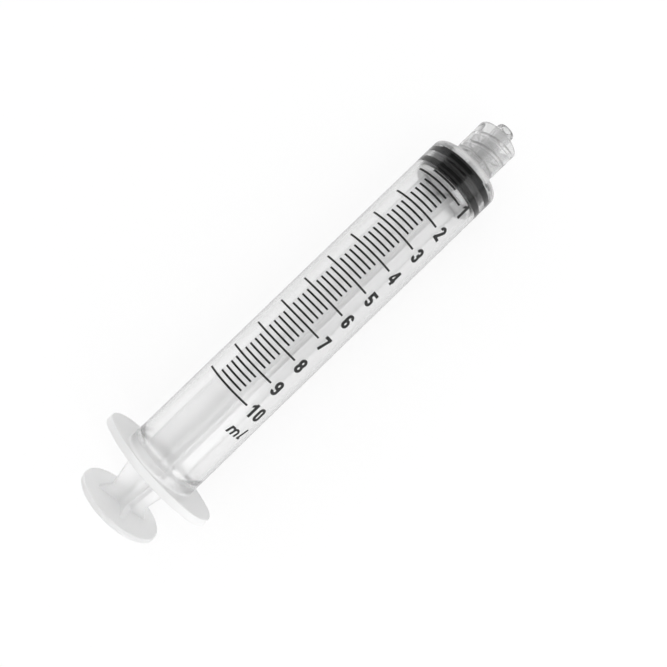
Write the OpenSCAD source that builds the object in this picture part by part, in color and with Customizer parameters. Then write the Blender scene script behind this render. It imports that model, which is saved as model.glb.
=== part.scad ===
// Luer lock syringe of 10 ml: a clear barrel with its lock collar and luer taper, a plunger rod of
// cross section, a rubber stopper, and the scale printed on the barrel.
// Millimetres. +X runs along the barrel towards the luer tip, +Z is the side that carries the scale,
// and the ears of the finger flange lie along Y. The origin is on the barrel's axis, in the front
// face of the finger flange.

/* [Barrel] */
// Diameter of the bore
bore_d = 14.5; // [13.8:0.1:16.5]
// Wall round the bore
wall_t = 0.85; // [0.7:0.05:1.2]
// From the front face of the finger flange to the printed line of the full volume
scale_start = 21.14; // [15:0.02:30]
// Thickness of the shoulder at its rim
shoulder_t = 1.35; // [1.2:0.05:2]
// Rounding of the shoulder's outer corner
shoulder_round = 0.8; // [0.3:0.1:1]
// Chamfer at the open mouth of the bore
mouth_chamfer = 0.4; // [0.2:0.1:0.6]
// Height of the ridge in the bore that keeps the stopper from slipping out
bead_h = 0.15; // [0.1:0.05:0.2]
// Width of that ridge
bead_w = 1; // [0.6:0.1:1.5]
// From the flange's front face to the middle of that ridge
bead_x = 2.5; // [1:0.1:4]

/* [Finger flange] */
// Thickness of the flange
flange_t = 1.6; // [1.2:0.1:2.4]
// How far each ear stands out from the barrel
ear_l = 6.1; // [5:0.1:9]
// Radius of an ear's rounded end
ear_end_r = 6; // [5:0.1:7]
// How far the long sides of the flange stand out from the barrel
flange_lip = 0.2; // [0.1:0.05:0.6]

/* [Luer lock] */
// Length of the lock collar in front of the shoulder
collar_l = 8.95; // [8:0.05:11]
// Outside diameter of the collar at the shoulder
collar_base_d = 9.2; // [9:0.1:10]
// Outside diameter of the collar at its mouth
collar_mouth_d = 9.4; // [9.2:0.1:10]
// Fillet between the shoulder and the collar
collar_fillet = 1; // [0.4:0.1:1.4]
// Depth of the space round the taper, from the collar's mouth
collar_depth = 6.6; // [6:0.1:7.2]
// Diameter at the root of the collar's thread
thread_root_d = 8; // [7.8:0.1:8.2]
// Diameter at the crest of the collar's thread
thread_crest_d = 7; // [6.8:0.1:7.2]
// Advance of the two-start thread in one turn
thread_lead = 5; // [4.5:0.1:5.5]
// Width of a thread ridge at its root
thread_root_w = 1; // [0.8:0.1:1.2]
// Width of a thread ridge at its crest
thread_crest_w = 0.4; // [0.3:0.05:0.5]
// Length of the threaded part of the collar
thread_l = 5.4; // [4:0.1:5.6]
// From the collar's mouth to the first thread ridge
thread_inset = 0.5; // [0.3:0.1:0.8]
// Diameter of the luer taper at its tip
tip_d = 3.95; // [3.9:0.01:4]
// How far the taper's tip stands out of the collar
tip_reach = 2.5; // [2.1:0.1:3]
// Growth of the taper's diameter for each unit of its length
taper_share = 0.06; // [0.05:0.01:0.07]
// Diameter of the fluid channel
channel_d = 2; // [1.6:0.1:2.4]

/* [Stopper] */
// Length of the stopper's side
stopper_l = 4.5; // [4.3:0.1:6]
// Radial gap between a sealing rib and the bore
seal_gap = 0.03; // [0.02:0.01:0.08]
// Gap between the stopper's rim and the end of the bore when pushed home
home_gap = 0.1; // [0.05:0.05:0.3]
// Width of the front sealing rib
front_rib_w = 1.75; // [1.4:0.05:2]
// Width of the groove behind the front rib
groove_w = 0.9; // [0.6:0.1:1.2]
// Depth of that groove
groove_depth = 0.55; // [0.3:0.05:0.8]
// Rounding of the ribs' edges
rib_round = 0.3; // [0.1:0.05:0.4]
// Height of the cone on the stopper's front
nose_h = 0.6; // [0.4:0.1:0.8]

/* [Plunger rod] */
// Width across two opposite ribs of the rod
rib_span = 10.4; // [9:0.1:12]
// Thickness of a rib
rib_t = 1.2; // [0.9:0.1:1.6]
// Fillet where two ribs meet
root_fillet = 0.85; // [0.4:0.05:1.2]
// Width across the ribs at the waist behind the flange
waist_span = 8.2; // [7:0.1:9]
// Width across the feet of the ribs on the thumb rest
foot_span = 11.6; // [10:0.1:13]
// Length of a foot along the rod
foot_l = 1.9; // [1.2:0.1:2.5]
// Length over which the ribs widen from the waist
waist_l = 4.5; // [3:0.1:6]
// From the flange's back face to the thumb rest when pushed home
thumb_gap = 8.9; // [8:0.1:14]
// Diameter of the thumb rest
thumb_d = 18.6; // [16:0.1:22]
// Thickness of the thumb rest
thumb_t = 1.1; // [0.9:0.1:2]
// Radial gap between the bore and the plate that pushes the stopper
plate_clearance = 0.45; // [0.3:0.05:0.8]
// Thickness of that plate
plate_t = 1; // [0.7:0.1:1.5]
// Diameter of the neck through the stopper's rear opening
neck_d = 4.8; // [4.4:0.1:5.2]
// Diameter of the snap head inside the stopper
head_d = 7.2; // [6.8:0.1:8]
// Thickness of the snap head
head_t = 1.5; // [1.3:0.1:1.7]
// Gap round the neck and the head in the stopper
snap_gap = 0.08; // [0.05:0.01:0.1]
// Angle by which the rod is turned in the barrel
rod_turn = 36; // [0:1:89]

/* [Printed scale] */
// Short lines between two long ones
short_count = 4; // [1:1:4]
// Width of a line
line_w = 0.4; // [0.3:0.05:0.5]
// Thickness of the ink
ink_t = 0.05; // [0.03:0.01:0.08]
// Angle that a long line spans round the barrel
long_arc = 79.6; // [60:0.1:100]
// Angle that a short line spans round the barrel
short_arc = 40.2; // [30:0.1:50]
// From the stopper's rim, pushed home, back to the zero line
zero_setback = 0.4; // [0:0.1:0.8]
// Angle by which the print runs askew on the barrel
print_skew = 0.88; // [0:0.01:1.5]
// Gap between the long lines and the numerals
numeral_gap = 1; // [0.6:0.1:1.4]
// Height of a digit
digit_h = 3.1; // [2.4:0.1:3.6]
// Width of a digit
digit_w = 1.7; // [1.5:0.05:1.85]
// Stroke of a digit
digit_stroke = 0.65; // [0.5:0.05:0.75]
// From one digit's middle to the next in a numeral
digit_step = 1.88; // [1.8:0.01:2.2]

/* [Hidden] */
$fn = 96;
// Overrun of every cut past the surface it opens
cut = 0.5;
// How far two solids of one moulding run into each other, so that they join
merge = 0.1;

clear_pp = [0.90, 0.91, 0.92, 0.45];
black = [0.08, 0.08, 0.09];

// The bore and its scale: a cube with this edge holds one millilitre
marks = 10;
ml_edge = 10;
bore_r = bore_d / 2;
ml_step = pow(ml_edge, 3) / (PI * bore_r * bore_r);
zero_x = scale_start + marks * ml_step;
rim_x = zero_x + zero_setback;
bore_end = rim_x + home_gap;

// The barrel
barrel_r = bore_r + wall_t;
barrel_l = bore_end + shoulder_t;
bead_crest_share = 0.4;
flange_cross_share = 0.995;

// The luer lock
collar_end = barrel_l + collar_l;
collar_floor = collar_end - collar_depth;
collar_chamfer = 0.25;
thread_root_r = thread_root_d / 2;
thread_crest_r = thread_crest_d / 2;
thread_front = collar_end - thread_inset;
thread_starts = 2;
// Angle at which the first ridge reaches the front of the thread
thread_start_turn = 129;
thread_slices = 30;
// Pieces that each ridge's outline is divided in
thread_segments = 14;
tip_end = collar_end + tip_reach;
tip_edge = 0.25;
channel_r = channel_d / 2;

// The stopper, pushed home
seal_r = bore_r - seal_gap;
stopper_back = rim_x - stopper_l;
head_cover = 1.2;
socket_end = rim_x - head_cover;
socket_l = head_t + 2 * snap_gap;

// The plunger rod, pushed home
thumb_front = -flange_t - thumb_gap;
thumb_back = thumb_front - thumb_t;
thumb_edge = 0.3;
plate_gap = 0.05;
plate_r = bore_r - plate_clearance;
plate_front = stopper_back - plate_gap;
plate_back = plate_front - plate_t;
head_front = socket_end - snap_gap;
head_back = head_front - head_t;
head_lead = 0.9;

// The print
bowl_share = 0.62;
flag_share = 0.35;
leg_share = 1.25;
bar_share = 0.22;
thin_share = 0.75;
unit_low_share = 0.55;
unit_tall_share = 0.84;
unit_stroke_share = 0.72;
unit_step_share = 0.62;
unit_foot_share = 1.8;
lean_share = 0.28;
skew_pivot = barrel_l / 2;
unit_setback = 4.85;

// Lays a shape that is drawn along Z on the barrel's axis, with its Z along X
module on_axis(x = 0) {
    translate([x, 0, 0]) rotate([0, 90, 0]) children();
}

// Radius of the luer taper at place x
function taper_r(x) = tip_d / 2 + (tip_end - x) * taper_share / 2;

// Place along the barrel of a volume
function volume_x(ml) = zero_x - ml * ml_step;

// Angle by which the askew print has crept round the barrel at place x
function creep(x) = tan(print_skew) * (skew_pivot - x) / barrel_r * 180 / PI;

// Angle that a length spans on the barrel's skin
function skin_turn(arc_l) = arc_l / barrel_r * 180 / PI;

// Angle from the middle of the scale to the middle of a numeral's first digit
function numeral_turn(x) = long_arc / 2 + skin_turn(numeral_gap + digit_w / 2) - creep(x);

// The barrel: outline of everything that is turned about its axis, as radius and place
module barrel_outline() {
    difference() {
        translate([0, -flange_t]) square([barrel_r, barrel_l + flange_t]);
        translate([barrel_r - shoulder_round, barrel_l - shoulder_round]) difference() {
            square(shoulder_round + cut);
            circle(shoulder_round);
        }
    }
    polygon([
        [0, barrel_l - merge], [collar_base_d / 2, barrel_l - merge],
        [collar_mouth_d / 2, collar_end - collar_chamfer],
        [collar_mouth_d / 2 - collar_chamfer, collar_end], [0, collar_end]
    ]);
    translate([collar_base_d / 2, barrel_l]) difference() {
        translate([-merge, -merge]) square(collar_fillet + merge);
        translate([collar_fillet, collar_fillet]) circle(collar_fillet);
    }
    polygon([
        [0, collar_end - merge], [taper_r(collar_end), collar_end - merge],
        [taper_r(tip_end - tip_edge), tip_end - tip_edge],
        [tip_d / 2 - tip_edge, tip_end], [0, tip_end]
    ]);
}

// Bore with its mouth chamfer, the ridge that keeps the stopper in, and the end cone
module bore_outline() {
    polygon([
        [0, -flange_t - cut], [bore_r + mouth_chamfer + cut, -flange_t - cut],
        [bore_r, mouth_chamfer - flange_t], [bore_r, bead_x - bead_w / 2],
        [bore_r - bead_h, bead_x - bead_w * bead_crest_share / 2],
        [bore_r - bead_h, bead_x + bead_w * bead_crest_share / 2],
        [bore_r, bead_x + bead_w / 2], [bore_r, bore_end],
        [channel_r, bore_end + nose_h], [channel_r, tip_end + cut], [0, tip_end + cut]
    ]);
}

// Ring-shaped space between the luer taper and the lock collar
module collar_space_outline() {
    polygon([
        [taper_r(collar_floor), collar_floor], [thread_root_r, collar_floor],
        [thread_root_r, collar_end - collar_chamfer],
        [thread_root_r + collar_chamfer + cut, collar_end + cut],
        [taper_r(collar_end + cut), collar_end + cut]
    ]);
}

// Oval of four arcs: two long sides and two ear ends, with the ears along its Y. The sides bend
// a little more than ones that touch the ends would, so that the arcs cross cleanly.
module flange_outline() {
    half_w = barrel_r + flange_lip;
    end_y = barrel_r + ear_l - ear_end_r;
    touching_r = (end_y * end_y + half_w * half_w - ear_end_r * ear_end_r)
                 / (2 * (half_w - ear_end_r));
    side_r = touching_r * flange_cross_share;
    side_y = side_r - half_w;
    join_y = end_y * touching_r / (touching_r - ear_end_r);
    intersection() {
        translate([side_y, 0]) circle(side_r, $fn = 2 * $fn);
        translate([-side_y, 0]) circle(side_r, $fn = 2 * $fn);
        square([2 * half_w, 2 * join_y], center = true);
    }
    for (side = [-1, 1]) translate([0, side * end_y]) circle(ear_end_r);
}

// Both ridges of the lock thread, wound to the right
module thread() {
    root_arc = 360 * thread_root_w / thread_lead;
    crest_arc = 360 * thread_crest_w / thread_lead;
    root_points = 8;
    crest_points = 4;
    outer_r = thread_root_r + merge;
    on_axis(thread_front - thread_l)
        rotate([0, 0, thread_start_turn - 360 * thread_l / thread_lead])
            linear_extrude(height = thread_l, twist = -360 * thread_l / thread_lead,
                           slices = thread_slices, segments = thread_segments)
                for (start = [0 : thread_starts - 1]) rotate(start * 360 / thread_starts)
                    polygon(concat(
                        [for (i = [0 : root_points]) let (a = root_arc * (i / root_points - 1 / 2))
                            [outer_r * cos(a), outer_r * sin(a)]],
                        [for (i = [0 : crest_points]) let (a = crest_arc * (1 / 2 - i / crest_points))
                            [thread_crest_r * cos(a), thread_crest_r * sin(a)]]
                    ));
}

// Clear moulding: tube, finger flange, shoulder, lock collar with its thread, and luer taper
module barrel() {
    color(clear_pp) {
        difference() {
            union() {
                on_axis() rotate_extrude() barrel_outline();
                on_axis(-flange_t) linear_extrude(height = flange_t) flange_outline();
            }
            on_axis() rotate_extrude() bore_outline();
            on_axis() rotate_extrude() collar_space_outline();
        }
        thread();
    }
}

// Rubber stopper with two sealing ribs and a socket for the rod's snap head
module stopper() {
    groove_front = rim_x - front_rib_w;
    groove_back = groove_front - groove_w;
    color(black) on_axis() rotate_extrude() difference() {
        union() {
            rib_outline(groove_front, rim_x);
            rib_outline(stopper_back, groove_back);
            translate([0, groove_back - rib_round])
                square([seal_r - groove_depth, groove_w + 2 * rib_round]);
            polygon([
                [0, rim_x - merge], [seal_r - rib_round, rim_x - merge], [seal_r - rib_round, rim_x],
                [channel_r + rib_round, rim_x + nose_h], [0, rim_x + nose_h]
            ]);
        }
        translate([0, stopper_back - cut])
            square([neck_d / 2 + snap_gap, socket_end - stopper_back]);
        translate([0, socket_end - socket_l]) square([head_d / 2 + snap_gap, socket_l]);
    }
}

// Half section of a sealing rib with rounded edges
module rib_outline(back, front) {
    square_w = seal_r - rib_round;
    translate([0, back]) square([square_w, front - back]);
    translate([0, back + rib_round]) square([seal_r, front - back - 2 * rib_round]);
    for (x = [back + rib_round, front - rib_round]) translate([square_w, x]) circle(rib_round);
}

// One pair of opposite ribs seen from the side, as place and distance from the axis
module rib_side() {
    half = [
        [thumb_front - merge, foot_span / 2], [thumb_front, foot_span / 2],
        [thumb_front + foot_l, waist_span / 2], [thumb_front + foot_l + waist_l, rib_span / 2],
        [plate_back + merge, rib_span / 2]
    ];
    last = len(half) - 1;
    polygon(concat(half, [for (i = [0 : last]) [half[last - i][0], -half[last - i][1]]]));
}

// Square core with a fillet in each corner where two ribs meet
module core_outline() {
    corner = rib_t / 2 + root_fillet;
    difference() {
        square(2 * corner, center = true);
        for (a = [45 : 90 : 315]) rotate(a - 45) translate([corner, corner]) circle(root_fillet);
    }
}

// Clear rod: thumb rest, crossed ribs, the plate behind the stopper, neck and snap head
module plunger_rod() {
    color(clear_pp) rotate([rod_turn, 0, 0]) {
        for (a = [0, 90]) rotate([a, 0, 0])
            translate([0, rib_t / 2, 0]) rotate([90, 0, 0]) linear_extrude(height = rib_t) rib_side();
        on_axis(thumb_front - merge)
            linear_extrude(height = plate_back - thumb_front + 2 * merge) core_outline();
        on_axis() rotate_extrude() {
            translate([0, thumb_back]) square([thumb_d / 2 - thumb_edge, thumb_t]);
            translate([0, thumb_back + thumb_edge]) square([thumb_d / 2, thumb_t - 2 * thumb_edge]);
            for (x = [thumb_back + thumb_edge, thumb_front - thumb_edge])
                translate([thumb_d / 2 - thumb_edge, x]) circle(thumb_edge);
        }
        on_axis() rotate_extrude() polygon([
            [0, plate_back], [plate_r, plate_back], [plate_r, plate_front],
            [neck_d / 2, plate_front], [neck_d / 2, head_back], [head_d / 2, head_back],
            [head_d / 2, head_front - head_lead], [head_d / 2 - head_lead, head_front],
            [0, head_front]
        ]);
    }
}

// Printed arc at a volume
module scale_line(ml, arc) {
    x = volume_x(ml);
    on_axis(x - line_w / 2) rotate([0, 0, 180 - creep(x) - arc / 2]) rotate_extrude(angle = arc)
        translate([barrel_r, 0]) square([ink_t, line_w]);
}

// Cuts a flat mark out of the film of ink at a place and an angle from the scale's middle.
// The mark reads across the barrel, with its top towards the luer tip.
module stamp(x, turn) {
    reach = digit_h;
    intersection() {
        on_axis(x - reach) difference() {
            cylinder(r = barrel_r + ink_t, h = 2 * reach);
            translate([0, 0, -cut]) cylinder(r = barrel_r, h = 2 * (reach + cut));
        }
        rotate([turn, 0, 0]) translate([x, 0, barrel_r - cut]) rotate([0, 0, -90])
            linear_extrude(height = 2 * cut) children();
    }
}

module stadium(w, h) {
    d = min(w, h);
    for (end = [-1, 1]) translate(end * [w - d, h - d] / 2) circle(d = d);
    square(w < h ? [w, h - d] : [w - d, h], center = true);
}

module loop(w, h) {
    difference() {
        stadium(w, h);
        stadium(w - 2 * digit_stroke, h - 2 * digit_stroke);
    }
}

module stroke(from, to) {
    run = to - from;
    translate(from) rotate(atan2(run[1], run[0])) translate([0, -digit_stroke / 2])
        square([norm(run), digit_stroke]);
}

// The lower bowl of 3, 5, 6, 8 and 9, and the upper one of 3 and 8, which shares its bar
module low_bowl() {
    h = digit_h * bowl_share;
    translate([0, (h - digit_h) / 2]) loop(digit_w, h);
}

module high_bowl() {
    h = digit_h * (1 - bowl_share) + digit_stroke;
    translate([0, (digit_h - h) / 2]) loop(digit_w, h);
}

// Numerals in a bold narrow style, centred on their own middle
module digit(n) {
    w = digit_w;
    h = digit_h;
    s = digit_stroke;
    if (n == 0) loop(w, h);
    if (n == 1) {
        flag_y = h / 2 - w * flag_share;
        square([s, h], center = true);
        polygon([[0, h / 2], [-w / 2, flag_y], [-w / 2, flag_y - s], [0, h / 2 - s]]);
    }
    if (n == 2) {
        arc_y = (h - w) / 2;
        intersection() {
            loop(w, h);
            translate([-w / 2, arc_y - merge]) square([w, w / 2 + merge]);
        }
        stroke([(w - s) / 2, arc_y], [(s - w) / 2, (s - h) / 2]);
        translate([-w / 2, -h / 2]) square([w, s]);
    }
    if (n == 3) difference() {
        union() { low_bowl(); high_bowl(); }
        gap_h = h / 2 - w / 4;
        translate([-w, -gap_h / 2]) square([w - s / 4, gap_h]);
    }
    if (n == 4) {
        low = -h * bar_share - s / 2;
        high = low + s;
        left = w / 2 - s * leg_share;
        right = left + s;
        counter_w = left + w / 2 - s * thin_share;
        slope = (h / 2 - high) / (left + w / 2);
        difference() {
            polygon([
                [left, -h / 2], [right, -h / 2], [right, low], [w / 2, low], [w / 2, high],
                [right, high], [right, h / 2], [left, h / 2], [-w / 2, high], [-w / 2, low],
                [left, low]
            ]);
            polygon([[left, high], [left, high + slope * counter_w], [left - counter_w, high]]);
        }
    }
    if (n == 5) {
        bowl_h = h * bowl_share;
        difference() {
            low_bowl();
            translate([-w, (w - h) / 2]) square([w - s / 4, bowl_h - s - w / 2]);
        }
        translate([-w / 2, h / 2 - s]) square([w, s]);
        translate([-w / 2, bowl_h - h / 2 - s]) square([s, h - bowl_h + s]);
    }
    if (n == 6 || n == 9) rotate(n == 6 ? 0 : 180) {
        low_bowl();
        intersection() {
            loop(w, h);
            union() {
                translate([-w / 2, -h / 2]) square([w / 2, h]);
                translate([-w / 2, (h - w) / 2]) square([w, w / 2]);
            }
        }
    }
    if (n == 7) {
        translate([-w / 2, h / 2 - s]) square([w, s]);
        stroke([(w - s) / 2, (h - s) / 2], [-s / 2, -h / 2]);
    }
    if (n == 8) { low_bowl(); high_bowl(); }
}

// Each digit is stamped by itself, so that it stays square on the round skin
module numeral(n) {
    x = volume_x(n);
    digits = n < 10 ? [n] : [1, 0];
    color(black) for (i = [0 : len(digits) - 1])
        stamp(x, numeral_turn(x) + i * skin_turn(digit_step)) digit(digits[i]);
}

// Leaning letters of the unit: three legs under two arches, and one tall leg with a foot
module unit_letters() {
    s = digit_stroke * unit_stroke_share;
    low_h = digit_h * unit_low_share;
    tall_h = digit_h * unit_tall_share;
    leg_step = digit_w * unit_step_share;
    arch_r = (leg_step + s) / 2;
    tall_x = 3 * leg_step;
    translate([-(tall_x + s + lean_share * tall_h) / 2, -tall_h / 2]) {
        leaning_leg(0, low_h, s);
        for (i = [1, 2]) leaning_leg(i * leg_step, low_h - arch_r + merge, s);
        for (i = [0, 1])
            translate([i * leg_step + arch_r + lean_share * (low_h - arch_r), low_h - arch_r])
                intersection() {
                    difference() { circle(arch_r); circle(arch_r - s); }
                    translate([-arch_r, 0]) square([2 * arch_r, arch_r]);
                }
        leaning_leg(tall_x, tall_h, s);
        translate([tall_x, 0]) square([s * unit_foot_share, s]);
    }
}

module leaning_leg(x, h, stroke) {
    lean = lean_share * h;
    polygon([[x, 0], [x + stroke, 0], [x + stroke + lean, h], [x + lean, h]]);
}

module unit_mark() {
    x = volume_x(marks) - unit_setback;
    color(black) stamp(x, numeral_turn(x) + skin_turn(digit_step) / 2) unit_letters();
}

module long_lines() {
    color(black) for (ml = [0 : marks]) scale_line(ml, long_arc);
}

module short_lines() {
    step = 1 / (short_count + 1);
    color(black) for (ml = [0 : marks - 1], i = [1 : short_count]) scale_line(ml + i * step, short_arc);
}

barrel();
plunger_rod();
stopper();
long_lines();
short_lines();
for (n = [1 : marks]) numeral(n);
unit_mark();
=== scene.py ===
import math

import bpy
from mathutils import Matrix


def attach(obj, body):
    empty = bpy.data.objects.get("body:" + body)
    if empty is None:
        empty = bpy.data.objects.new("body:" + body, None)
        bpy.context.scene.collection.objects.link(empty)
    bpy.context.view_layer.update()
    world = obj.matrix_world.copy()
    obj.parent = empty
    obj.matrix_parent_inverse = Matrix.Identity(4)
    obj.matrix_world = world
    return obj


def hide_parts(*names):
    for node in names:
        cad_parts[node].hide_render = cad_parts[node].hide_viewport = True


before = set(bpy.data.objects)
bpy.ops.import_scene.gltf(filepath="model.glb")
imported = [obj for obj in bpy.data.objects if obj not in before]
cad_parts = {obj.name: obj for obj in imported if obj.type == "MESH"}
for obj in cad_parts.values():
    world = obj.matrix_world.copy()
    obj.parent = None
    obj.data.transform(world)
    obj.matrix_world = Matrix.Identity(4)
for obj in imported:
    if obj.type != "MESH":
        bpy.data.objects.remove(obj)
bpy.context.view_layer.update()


# Clear plastic
# Barrel and plunger rod are moulded from natural polypropylene. A thin wall of it looks clear and
# a thick one milky, and it carries the shine of the polished mould and faint flow marks.
class Flow:
    """A number, colour or vector on its way through the nodes of a material."""

    def __init__(self, tree, socket=None):
        self.tree, self.socket = tree, socket

    def node(self, kind, settings=(), sockets=(), out=0):
        """Any node: its settings, what its sockets are given, and the output to go on from."""
        made = self.tree.nodes.new(kind)
        for name, value in dict(settings).items():
            if name == "stops":
                for stop, (place, level) in zip(made.color_ramp.elements, value):
                    stop.position, stop.color = place, grey(level)
            else:
                setattr(made, name, value)
        for name, value in dict(sockets).items():
            if isinstance(value, Flow):
                self.tree.links.new(value.socket, made.inputs[name])
            else:
                made.inputs[name].default_value = value
        return Flow(self.tree, made.outputs[out] if len(made.outputs) else None)

    def maths(self, operation, a, b):
        return self.node("ShaderNodeMath", {"operation": operation}, {0: a, 1: b})

    def __add__(self, other):
        return self.maths("ADD", self, other)

    def __sub__(self, other):
        return self.maths("SUBTRACT", self, other)

    def __rsub__(self, other):
        return self.maths("SUBTRACT", other, self)

    def __mul__(self, other):
        return self.maths("MULTIPLY", self, other)

    __radd__, __rmul__ = __add__, __mul__

    def at_least(self, other):
        return self.maths("MAXIMUM", self, other)


def grey(level):
    """A colour between black at 0 and white at 1."""
    return (level, level, level, 1)


def new_material(name):
    """A material without nodes, and the flow that its nodes are added to."""
    material = bpy.data.materials.new(name)
    material.use_nodes = True
    material.node_tree.nodes.clear()
    return material, Flow(material.node_tree)


def noise(flow, scale, stretch=(1, 1, 1), detail=3):
    """Soft unevenness of the material, finer with a larger scale."""
    place = flow.node("ShaderNodeTexCoord", out="Object")
    place = flow.node("ShaderNodeMapping", {}, {"Vector": place, "Scale": stretch})
    return flow.node("ShaderNodeTexNoise", {}, {"Vector": place, "Scale": scale, "Detail": detail})


def grade(flow, span, before, after):
    """A value that changes from before to after over a span of the axis, given in metres."""
    first, last = span
    place = flow.node("ShaderNodeTexCoord", out="Object")
    along = flow.node("ShaderNodeSeparateXYZ", {}, {"Vector": place})
    return flow.node("ShaderNodeMapRange", {"interpolation_type": "SMOOTHSTEP"}, {
        "Value": along, "From Min": first, "From Max": last, "To Min": before, "To Max": after})


def mixed(flow, share, first, second):
    """A colour that goes from the first to the second as the share goes from 0 to 1."""
    return flow.node("ShaderNodeMix", {"data_type": "RGBA"},
                     {"Factor": share, "A": first, "B": second}, out="Result")


plastic_bend = 1.49


def polypropylene(name, haze, milk, shade, bend, absorption):
    """Natural plastic. Haze softens what is seen through it, milk scatters light back, and shade is
    the tone of what passes, which on the barrel holds painted shade. Flow marks make its surface
    and its tint a little uneven."""
    plastic, flow = new_material(name)
    flow_marks = noise(flow, scale=160, stretch=(0.25, 1, 1))
    clear_change, cloudy_roughness, cloudy_change = 0.04, 0.25, 0.1
    bump = flow.node("ShaderNodeBump", {},
                     {"Strength": 0.02, "Distance": 0.00010, "Height": flow_marks})
    clear = flow.node("ShaderNodeBsdfPrincipled", {}, {
        "Base Color": shade(flow), "Roughness": haze(flow) + clear_change * flow_marks,
        "IOR": bend, "Transmission Weight": 1.0, "Normal": bump})
    cloudy = flow.node("ShaderNodeBsdfPrincipled", {}, {
        "Base Color": mixed(flow, flow_marks, grey(0.92), grey(0.96)),
        "Roughness": cloudy_roughness + cloudy_change * flow_marks,
        "IOR": plastic_bend, "Normal": bump})
    shell = flow.node("ShaderNodeMixShader", {}, {0: milk(flow), 1: clear, 2: cloudy})
    depth = flow.node("ShaderNodeVolumeAbsorption", {}, {"Color": grey(0.5), "Density": absorption})
    flow.node("ShaderNodeOutputMaterial", {}, {"Surface": shell, "Volume": depth})
    return plastic


# Barrel
# One moulding: a tube with an oval finger flange at its open end, and at the other the shoulder,
# the lock collar and the luer taper. The core pin leaves the bore and the small ridge at its mouth.
# Sizes and places are in millimetres from the flange's front face, and MM turns them into metres.
MM = 0.001


def corner(u, v, rounding, first, last, steps):
    """Points of the arc that rounds the sharp corner at u, v, between two angles in degrees."""
    middle = math.radians((first + last) / 2)
    middle_u = u - math.copysign(rounding, math.cos(middle))
    middle_v = v - math.copysign(rounding, math.sin(middle))
    turns = [math.radians(first + (last - first) * i / steps) for i in range(steps + 1)]
    return [(middle_u + rounding * math.cos(t), middle_v + rounding * math.sin(t)) for t in turns]


def rounded_rim(back, front, r, rounding, steps):
    """Both corners of a disc's rim, as place along the axis and radius."""
    return corner(back, r, rounding, 180, 90, steps) + corner(front, r, rounding, 90, 0, steps)


def closed_up():
    """In edit mode: doubles are merged, open ends get a face, and all faces point outwards."""
    bpy.ops.mesh.select_all(action="SELECT")
    bpy.ops.mesh.remove_doubles(threshold=MM / 1000)
    bpy.ops.mesh.select_all(action="DESELECT")
    bpy.ops.mesh.select_non_manifold()
    bpy.ops.mesh.fill_holes(sides=0)
    bpy.ops.mesh.select_all(action="SELECT")
    bpy.ops.mesh.normals_make_consistent(inside=False)
    bpy.ops.object.mode_set(mode="OBJECT")


def turned(name, profile, facets):
    """A piece turned on the axis: a ring is drawn from each place and radius to the next."""
    bpy.ops.object.select_all(action="DESELECT")
    x, r = (value * MM for value in profile[0])
    bpy.ops.mesh.primitive_circle_add(vertices=facets, radius=r, location=(x, 0, 0),
                                      rotation=(0, math.pi / 2, 0))
    piece = bpy.context.object
    piece.name = name
    bpy.ops.object.transform_apply()
    bpy.ops.object.mode_set(mode="EDIT")
    bpy.ops.mesh.select_all(action="SELECT")
    for step in profile[1:]:
        next_x, next_r = (value * MM for value in step)
        bpy.ops.mesh.extrude_region_move(TRANSFORM_OT_translate={"value": (next_x - x, 0, 0)})
        bpy.ops.transform.resize(value=(1, next_r / r, next_r / r), center_override=(0, 0, 0))
        x, r = next_x, next_r
    closed_up()
    return piece


def picked(piece):
    """The next operators act on this piece alone."""
    bpy.ops.object.select_all(action="DESELECT")
    bpy.context.view_layer.objects.active = piece
    piece.select_set(True)


def joined(piece, other):
    """The other piece becomes part of this one, and the seam's doubles are merged."""
    picked(piece)
    union = piece.modifiers.new("union", "BOOLEAN")
    union.operation, union.object, union.solver = "UNION", other, "EXACT"
    bpy.ops.object.modifier_apply(modifier=union.name)
    bpy.data.objects.remove(other)
    bpy.ops.object.mode_set(mode="EDIT")
    bpy.ops.mesh.select_all(action="SELECT")
    bpy.ops.mesh.remove_doubles(threshold=MM / 5000)
    bpy.ops.object.mode_set(mode="OBJECT")


def finished(piece, material, body, slot, *nodes):
    """The piece gets its smooth shading and material, and stands for its nodes on its body."""
    picked(piece)
    sharp_turn = math.radians(32)
    bpy.ops.object.shade_smooth_by_angle(angle=sharp_turn)
    piece.data.materials.clear()
    piece.data.materials.append(material)
    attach(piece, body)
    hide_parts(*nodes)


barrel_r, bore_r, barrel_l = 8.1, 7.25, 83.55
flange_t, flange_ring_r, flange_round, flange_fillet, mouth_chamfer = 1.6, 10.5, 0.18, 0.35, 0.4
ear_r, ear_end_r, flange_half_w = 14.2, 6.0, 8.3
shoulder_round, shoulder_ring_r = 0.8, 6.4
collar_floor, collar_end, collar_inner_r = 85.9, 92.5, 4.0
collar_base_r, collar_mouth_r, collar_fillet = 4.6, 4.7, 1.0
collar_edge, collar_inner_edge, collar_floor_round = 0.25, 0.2, 0.3
tip_end, tip_r, tip_edge, taper_share = 95.0, 1.975, 0.2, 0.03
channel_r, channel_edge = 1.0, 0.1
bore_end, nose_end, bore_end_round = 82.2, 82.8, 0.15
bead_x, bead_foot, bead_crest, bead_h = 2.5, 0.5, 0.2, 0.15
# Rings of points between the corners keep the facets of the long walls short.
tube_rings, bore_rings = (4, 12, 24, 36, 48, 60, 72, 80), (78, 70, 60, 48, 36, 24, 12, 4)
collar_rings, taper_rings, channel_rings = (91, 89, 87), (88, 90, 92, 94), (92, 88, 84)
collar_skin = [(86.5, 4.633), (89.5, 4.667)]


def taper_r(x):
    """Radius of the luer taper at a place."""
    return tip_r + taper_share * (tip_end - x)


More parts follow.
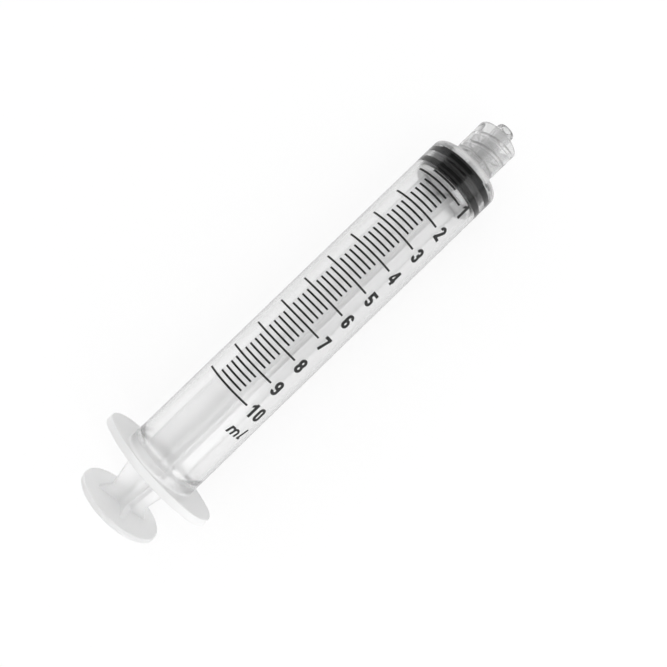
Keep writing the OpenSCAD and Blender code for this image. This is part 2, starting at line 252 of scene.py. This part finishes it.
outside = (
    [(-flange_t, bore_r + mouth_chamfer), (-flange_t, flange_ring_r)]
    + rounded_rim(-flange_t, 0, ear_r, flange_round, 4)
    + [(0, flange_ring_r)] + corner(0, barrel_r, flange_fillet, 180, 270, 4)[1:]
    + [(x, barrel_r) for x in tube_rings]
    + corner(barrel_l, barrel_r, shoulder_round, 90, 0, 8)
    + [(barrel_l, shoulder_ring_r)] + corner(barrel_l, collar_base_r, collar_fillet, 180, 270, 8)
    + collar_skin + corner(collar_end, collar_mouth_r, collar_edge, 90, 0, 4)
    + corner(collar_end, collar_inner_r, collar_inner_edge, 0, -90, 3)
    + [(x, collar_inner_r) for x in collar_rings]
    + corner(collar_floor, collar_inner_r, collar_floor_round, 90, 180, 3)
    + corner(collar_floor, taper_r(collar_floor), collar_floor_round, 180, 270, 3)
    + [(x, taper_r(x)) for x in taper_rings]
    + corner(tip_end, tip_r, tip_edge, 90, 0, 4))
inside = (
    [(tip_end, channel_r + channel_edge), (tip_end - channel_edge, channel_r)]
    + [(x, channel_r) for x in channel_rings]
    + corner(nose_end, channel_r, bore_end_round, -90, -175, 3)
    + corner(bore_end, bore_r, bore_end_round, 5, 90, 3)
    + [(x, bore_r) for x in bore_rings]
    + [(bead_x + bead_foot, bore_r), (bead_x + bead_crest, bore_r - bead_h),
       (bead_x - bead_crest, bore_r - bead_h), (bead_x - bead_foot, bore_r),
       (mouth_chamfer - flange_t, bore_r), (-flange_t, bore_r + mouth_chamfer)])
barrel = turned("barrel_moulding", outside + inside, facets=144)

# The oval has two long sides and two ear ends. Its sides bend a little more than ones that touch
# the ends would, so that the arcs cross cleanly.
side_share = 0.995
ear_y = ear_r - ear_end_r
side_r = side_share * (ear_y ** 2 + flange_half_w ** 2 - ear_end_r ** 2) / (
    2 * (flange_half_w - ear_end_r))


def flange_reach(turn, inset):
    """How far the oval, drawn in by the inset, reaches in a direction, turned from +Z."""
    s, c = abs(math.sin(turn)), abs(math.cos(turn))
    side_z, side, end = side_r - flange_half_w, side_r - inset, ear_end_r - inset
    along_side = math.sqrt(side ** 2 - (s * side_z) ** 2) - c * side_z
    end_square = end ** 2 - (c * ear_y) ** 2
    along_end = s * ear_y + math.sqrt(end_square) if end_square > 0 else 0
    side_counts = along_side * s < ear_y + ear_end_r / 2
    return max(along_side if side_counts else 0, along_end)


# The turned flange is pressed into its oval: its ears keep their reach, its sides come in. Its
# points lie behind faces_to and outside the tube's fillet. Those past rim_from are on its rim, and
# the ring of points on its faces goes to a share of the way from the tube to the rim.
faces_to, clear_of_fillet, rim_from, most_inset, ring_share = 0.1, 0.4, 13, 0.3, 0.45
for vertex in barrel.data.vertices:
    x, y, z = vertex.co
    reach = math.hypot(y, z) / MM
    if x <= faces_to * MM and reach > barrel_r + clear_of_fillet:
        oval = flange_reach(math.atan2(y, z), min(ear_r - reach, most_inset))
        target = oval if reach > rim_from else barrel_r + (oval - barrel_r) * ring_share
        vertex.co.y, vertex.co.z = y * target / reach, z * target / reach


# The lock thread: two ridges wound to the right inside the collar, running out at both ends. Their
# feet are sunk into the wall. The first reaches the thread's front at thread_start_turn degrees.
thread_back, thread_l, thread_lead, thread_starts, thread_start_turn = 86.6, 5.4, 5.0, 2, 129
thread_front = thread_back + thread_l
crest_r, foot_r, crest_half_w, foot_half_w = 3.5, collar_inner_r + 0.06, 0.2, 0.52
run_out_l, run_out_start, run_out_sink = 0.5, 0.1, 0.1
thread_steps = 84


def thread_ridge(start_turn):
    """A ridge: its outline is wound along the axis, lowered at both ends, turned to its start."""
    bpy.ops.object.select_all(action="DESELECT")
    bpy.ops.mesh.primitive_plane_add(size=MM, location=(thread_back * MM, 0, -foot_r * MM),
                                     rotation=(math.pi / 2, 0, 0))
    ridge = bpy.context.object
    bpy.ops.object.transform_apply()
    for vertex in ridge.data.vertices:
        is_crest = vertex.co.z > -foot_r * MM
        half_w = crest_half_w if is_crest else foot_half_w
        vertex.co.x = (thread_back + math.copysign(half_w, vertex.co.x - thread_back * MM)) * MM
        vertex.co.z = -(crest_r if is_crest else foot_r) * MM
    wind = ridge.modifiers.new("wind", "SCREW")
    wind.axis, wind.steps, wind.render_steps = "X", thread_steps, thread_steps
    wind.screw_offset = thread_l * MM
    wind.angle = math.tau * thread_l / thread_lead
    bpy.ops.object.modifier_apply(modifier=wind.name)
    bpy.ops.object.mode_set(mode="EDIT")
    closed_up()
    low_r = foot_r - run_out_sink
    for vertex in ridge.data.vertices:
        x, reach = vertex.co.x / MM, math.hypot(vertex.co.y, vertex.co.z) / MM
        if reach < (crest_r + foot_r) / 2:
            from_end = min(x - thread_back, thread_front - x) + run_out_start
            height_share = max(0, min(1, from_end / run_out_l))
            target = low_r - (low_r - crest_r) * height_share
            vertex.co.y *= target / reach
            vertex.co.z *= target / reach
    ridge.rotation_euler.x = start_turn
    bpy.ops.object.transform_apply()
    return ridge


for start in range(thread_starts):
    turn = thread_start_turn - 360 * thread_l / thread_lead + 360 * start / thread_starts
    joined(barrel, thread_ridge(math.radians(turn)))


def barrel_haze(flow):
    """The tube is clearer than the flange, and the collar is clearer than the tube."""
    into_tube, into_collar = (0.0004, 0.0045), (0.0840, 0.0850)
    return grade(flow, into_tube, 0.30, 0.12) - grade(flow, into_collar, 0, 0.06)


def barrel_milk(flow):
    """The flange and the shoulder are thick, and look cloudier than the tube and the collar."""
    into_tube, into_shoulder, into_collar = (0.0002, 0.0012), (0.0820, 0.0828), (0.0844, 0.0852)
    shoulder = grade(flow, into_shoulder, 0, 0.32) - grade(flow, into_collar, 0, 0.20)
    return grade(flow, into_tube, 0.72, 0) + shoulder


def barrel_tint_and_painted_shade(flow):
    """Painted shade: the tube is painted lighter at the flange's end and darker towards its middle.
    The shoulder and collar are darker still, partly for their thicker plastic and partly as painted
    shade.
    """
    along_tube, into_shoulder = (0.0020, 0.0500), (0.0820, 0.0846)
    # Painted shade along the tube; at the shoulder and collar partly thicker plastic, partly
    # painted shade.
    thickness_and_painted_shade = grade(flow, along_tube, 0, 0.16) + grade(flow, into_shoulder, 0, 0.56)
    return mixed(flow, thickness_and_painted_shade, grey(1), grey(0.70))


# The barrel's tint is partly painted shade: darker along the tube, and at the shoulder and collar.
clear_plastic = polypropylene("clear_polypropylene", barrel_haze, barrel_milk, barrel_tint_and_painted_shade,
                              bend=plastic_bend, absorption=60)
finished(barrel, clear_plastic, "barrel", "clear_pp", "barrel")


# Plunger rod
# One moulding of the same plastic: four thin ribs in a cross, the round thumb rest, a plate that
# pushes the stopper, and the snap head inside it. The ribs narrow to a waist behind the flange.
def rib_cross(name, half_t, fillet, tip_round, stations):
    """The cross of ribs, drawn along the axis from one (place, rib height) to the next."""
    first_x, first_h = stations[0]
    quarter = (corner(first_h, half_t, tip_round, 0, 90, 2)
               + corner(half_t, half_t, fillet, 270, 180, 6)
               + corner(half_t, first_h, tip_round, 0, 90, 2))
    outline = [(y * math.cos(a) - z * math.sin(a), y * math.sin(a) + z * math.cos(a))
               for a in (0, math.pi / 2, math.pi, 3 * math.pi / 2) for y, z in quarter]
    bpy.ops.object.select_all(action="DESELECT")
    bpy.ops.mesh.primitive_circle_add(vertices=len(outline), radius=MM)
    piece = bpy.context.object
    piece.name = name
    for vertex, (y, z) in zip(piece.data.vertices, outline):
        vertex.co = (first_x * MM, y * MM, z * MM)
    bpy.ops.object.mode_set(mode="EDIT")
    bpy.ops.mesh.select_all(action="SELECT")
    x = first_x
    for next_x, _ in stations[1:]:
        step = ((next_x - x) * MM, 0, 0)
        bpy.ops.mesh.extrude_region_move(TRANSFORM_OT_translate={"value": step})
        x = next_x
    closed_up()
    # The ribs' outer parts move out or in to the height at their place, and their roots stay.
    heights = {round(place, 3): height for place, height in stations}
    outer_from = (half_t + fillet + 0.5) * MM
    for vertex in piece.data.vertices:
        shift = (heights[round(vertex.co.x / MM, 3)] - first_h) * MM
        for axis in (1, 2):
            if abs(vertex.co[axis]) > outer_from:
                vertex.co[axis] += shift if vertex.co[axis] > 0 else -shift
    return piece


thumb_back, thumb_front, thumb_r, thumb_ring_r, thumb_round = -11.6, -10.5, 9.3, 6.0, 0.3
foot_h, rib_h, rib_turn = 5.8, 5.2, 36
waist = [(-10.8, foot_h), (thumb_front, foot_h), (-10.2, 5.55), (-9.6, 5.0), (-9.0, 4.4),
         (-8.6, 4.1), (-8.2, 4.13), (-6.5, 4.55), (-4.3, 5.1)]
straight = [(x, rib_h) for x in (-3.9, 0, 20, 40, 60, 76.7)]
rod = rib_cross("plunger_rod_moulding", half_t=0.6, fillet=0.85, tip_round=0.12,
                stations=waist + straight)
rod.rotation_euler.x = math.radians(rib_turn)
bpy.ops.object.transform_apply()
joined(rod, turned("thumb", (
    [(thumb_back, thumb_ring_r)]
    + rounded_rim(thumb_back, thumb_front, thumb_r, thumb_round, 4)
    + [(thumb_front, thumb_ring_r)]), facets=128))

plate_back, plate_front, plate_r, plate_ring_r, plate_round = 76.55, 77.55, 6.8, 4, 0.15
neck_r, head_r, head_back, head_front, head_lead = 2.4, 3.6, 79.32, 80.82, 0.9
joined(rod, turned("front", (
    [(plate_back, plate_ring_r)]
    + rounded_rim(plate_back, plate_front, plate_r, plate_round, 3)
    + [(plate_front, neck_r), (head_back, neck_r), (head_back, head_r),
       (head_front - head_lead, head_r), (head_front, head_r - head_lead)]), facets=96))


def rod_haze(flow):
    """The ribs blur what is seen through them a little more than the thumb rest does."""
    into_ribs = (-0.0106, -0.0102)
    return grade(flow, into_ribs, 0.35, 0.44)


def rod_milk(flow):
    """The thumb rest is cloudy, the ribs are less so as they go into the barrel, and the plate
    with the head is nearly white."""
    into_ribs, into_barrel, into_plate = (-0.0105, -0.0065), (-0.0040, 0.0010), (0.0764, 0.0766)
    foot = grade(flow, into_ribs, 0.45, 0.12) - grade(flow, into_barrel, 0, 0.12)
    return foot + grade(flow, into_plate, 0, 0.9)


def rod_shade(flow):
    """The ribs let through a little more than the thumb rest does."""
    into_ribs = (-0.0104, -0.0100)
    return grade(flow, into_ribs, 0.98, 1)


# The rod bends light less than the barrel does, so that its ribs stay faint through the wall.
milky_plastic = polypropylene("milky_polypropylene", rod_haze, rod_milk, rod_shade,
                              bend=1.25, absorption=4)
finished(rod, milky_plastic, "plunger_rod", "clear_pp", "plunger_rod")


# Stopper
# A black rubber moulding, snapped over the rod's head. Two ribs press on the bore, with a groove
# between them that carries a film of silicone oil, and the front is a flat cone.
rubber, flow = new_material("black_rubber")
mottle = noise(flow, scale=900)
grain = noise(flow, scale=5000)
black = flow.node("ShaderNodeValToRGB", {"stops": [(0.3, 0.004), (0.7, 0.007)]}, {"Fac": mottle})
roughness, roughness_change = 0.34, 0.14
bump = flow.node("ShaderNodeBump", {}, {"Strength": 0.25, "Distance": 0.00003, "Height": grain})
skin = flow.node("ShaderNodeBsdfPrincipled", {}, {
    "Base Color": black, "Roughness": roughness + roughness_change * mottle,
    "IOR": 1.12, "Normal": bump})
flow.node("ShaderNodeOutputMaterial", {}, {"Surface": skin})

seal_r, seal_round, groove_r, groove_round = 7.256, 0.3, 6.67, 0.15
stopper_back, rim_x, front_rib_l, groove_l, nose_l, nose_r = 77.6, 82.1, 1.75, 0.9, 0.6, 1.3
groove_front = rim_x - front_rib_l
groove_back = groove_front - groove_l
socket_back, socket_front, socket_r, socket_mouth_r = 79.24, 81.0, 3.68, 2.48
stopper = turned("stopper_moulding", (
    [(socket_front, socket_r), (socket_back, socket_r),
     (socket_back, socket_mouth_r), (stopper_back, socket_mouth_r)]
    + rounded_rim(stopper_back, groove_back, seal_r, seal_round, 5)
    + corner(groove_back, groove_r, groove_round, 180, 270, 3)
    + corner(groove_front, groove_r, groove_round, 270, 360, 3)
    + corner(groove_front, seal_r, seal_round, 180, 90, 5)
    + corner(rim_x, seal_r, seal_round, 90, 20, 5)
    + [(rim_x + nose_l, nose_r)]), facets=128)
finished(stopper, rubber, "stopper", "rubber", "stopper")


# Printed scale
# Black ink, transferred onto the barrel in one pass: long and short lines, the numerals and the
# unit. The film is thin, a little uneven, and duller than the plastic.
ink, flow = new_material("printed_ink")
cover = noise(flow, scale=2200, detail=5)
black = flow.node("ShaderNodeValToRGB", {"stops": [(0.35, 0.006), (0.75, 0.030)]}, {"Fac": cover})
roughness, roughness_change = 0.42, 0.2
bump = flow.node("ShaderNodeBump", {}, {"Strength": 0.3, "Distance": 0.00001, "Height": cover})
film = flow.node("ShaderNodeBsdfPrincipled", {}, {
    "Base Color": black, "Roughness": roughness + roughness_change * cover,
    "IOR": 1.45, "Normal": bump})
flow.node("ShaderNodeOutputMaterial", {}, {"Surface": film})
printed = ["long_lines", "short_lines", "unit_mark"] + [f"numeral_{n}" for n in range(1, 11)]
for name in printed:
    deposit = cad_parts[name]
    deposit.data.materials.clear()
    deposit.data.materials.append(ink)


# Table, light and camera
# The syringe lies on a white table, on its thumb rest and its shoulder, under two soft lights from
# the numerals' side and one from the other side, and is seen from above.
table_size, table_gap = 6, 0.03
thumb_touches, shoulder_touches = thumb_front - thumb_round, barrel_l - shoulder_round
table_slope = math.atan2(thumb_r - barrel_r, shoulder_touches - thumb_touches)
bpy.ops.object.select_all(action="DESELECT")
bpy.ops.mesh.primitive_plane_add(size=table_size)
table = bpy.context.object
table.name = "table"
table.rotation_euler.y = -table_slope
table.location = ((thumb_front + thumb_back) / 2 * MM, 0, -(thumb_r + table_gap) * MM)


def ray_is(flow, way):
    """1 for a ray of one kind, and 0 for any other."""
    return flow.node("ShaderNodeLightPath", out=f"Is {way} Ray")


# To the camera, in reflections and through the plastic most of the table's white is its own. All
# other light falls on plain white paper.
white_top, flow = new_material("white_table")
own_white_share = 0.85
reflected_or_through = ray_is(flow, "Glossy").at_least(ray_is(flow, "Transmission"))
seen = ray_is(flow, "Camera").at_least(reflected_or_through)
paper = flow.node("ShaderNodeBsdfDiffuse", {}, {"Color": grey(0.92)})
white = flow.node("ShaderNodeEmission", {}, {"Color": grey(1), "Strength": 1.0})
top = flow.node("ShaderNodeMixShader", {}, {0: seen * own_white_share, 1: paper, 2: white})
flow.node("ShaderNodeOutputMaterial", {}, {"Surface": top})
table.data.materials.append(white_top)
white_top.cycles.emission_sampling = "NONE"

# The studio is white to the camera and through the plastic, nearly so on surfaces, and dim in
# reflections.
world = bpy.data.worlds.new("studio")
bpy.context.scene.world = world
world.use_nodes = True
world.node_tree.nodes.clear()
flow = Flow(world.node_tree)
in_reflections, more_on_surfaces = 0.16, 0.77
lit = in_reflections + more_on_surfaces * ray_is(flow, "Diffuse")
strength = ray_is(flow, "Camera").at_least(ray_is(flow, "Transmission")).at_least(lit)
sky = flow.node("ShaderNodeBackground", {}, {"Color": grey(1), "Strength": strength})
flow.node("ShaderNodeOutputWorld", {}, {"Surface": sky})
world.cycles.sampling_method = "NONE"


def soft_light(name, place, width, height, power):
    """A large lamp at a place in metres, turned towards the flange."""
    bpy.ops.object.light_add(type="AREA", location=place)
    lamp = bpy.context.object
    lamp.name = name
    lamp.data.shape, lamp.data.size, lamp.data.size_y = "RECTANGLE", width, height
    lamp.data.energy = power
    lamp.rotation_mode = "QUATERNION"
    lamp.rotation_quaternion = (-lamp.location).to_track_quat("-Z", "Y")


soft_light("key_light", (-0.145, -0.50, 0.30), width=0.2, height=0.58, power=1.05)
soft_light("side_light", (0.22, -0.50, 0.30), width=0.3, height=0.56, power=0.5)
soft_light("fill_light", (0.10, 0.60, 0.12), width=0.6, height=0.6, power=0.9)

# The camera's place, in millimetres, its turns, in degrees, and its lens match the lines of the
# printed scale as the photograph shows them.
camera_place, camera_turns = (38.63, -32.26, 121.22), (12.62, -1.584, -44.109)
bpy.ops.object.camera_add(location=[value * MM for value in camera_place])
camera = bpy.context.object
camera.rotation_mode = "ZYX"
camera.rotation_euler = [math.radians(turn) for turn in camera_turns]
camera.data.lens, camera.data.sensor_width = 34.27, 36
camera.data.clip_start, camera.data.clip_end = 0.002, 50
bpy.context.scene.camera = camera
bpy.context.scene.view_settings.view_transform = "Standard"
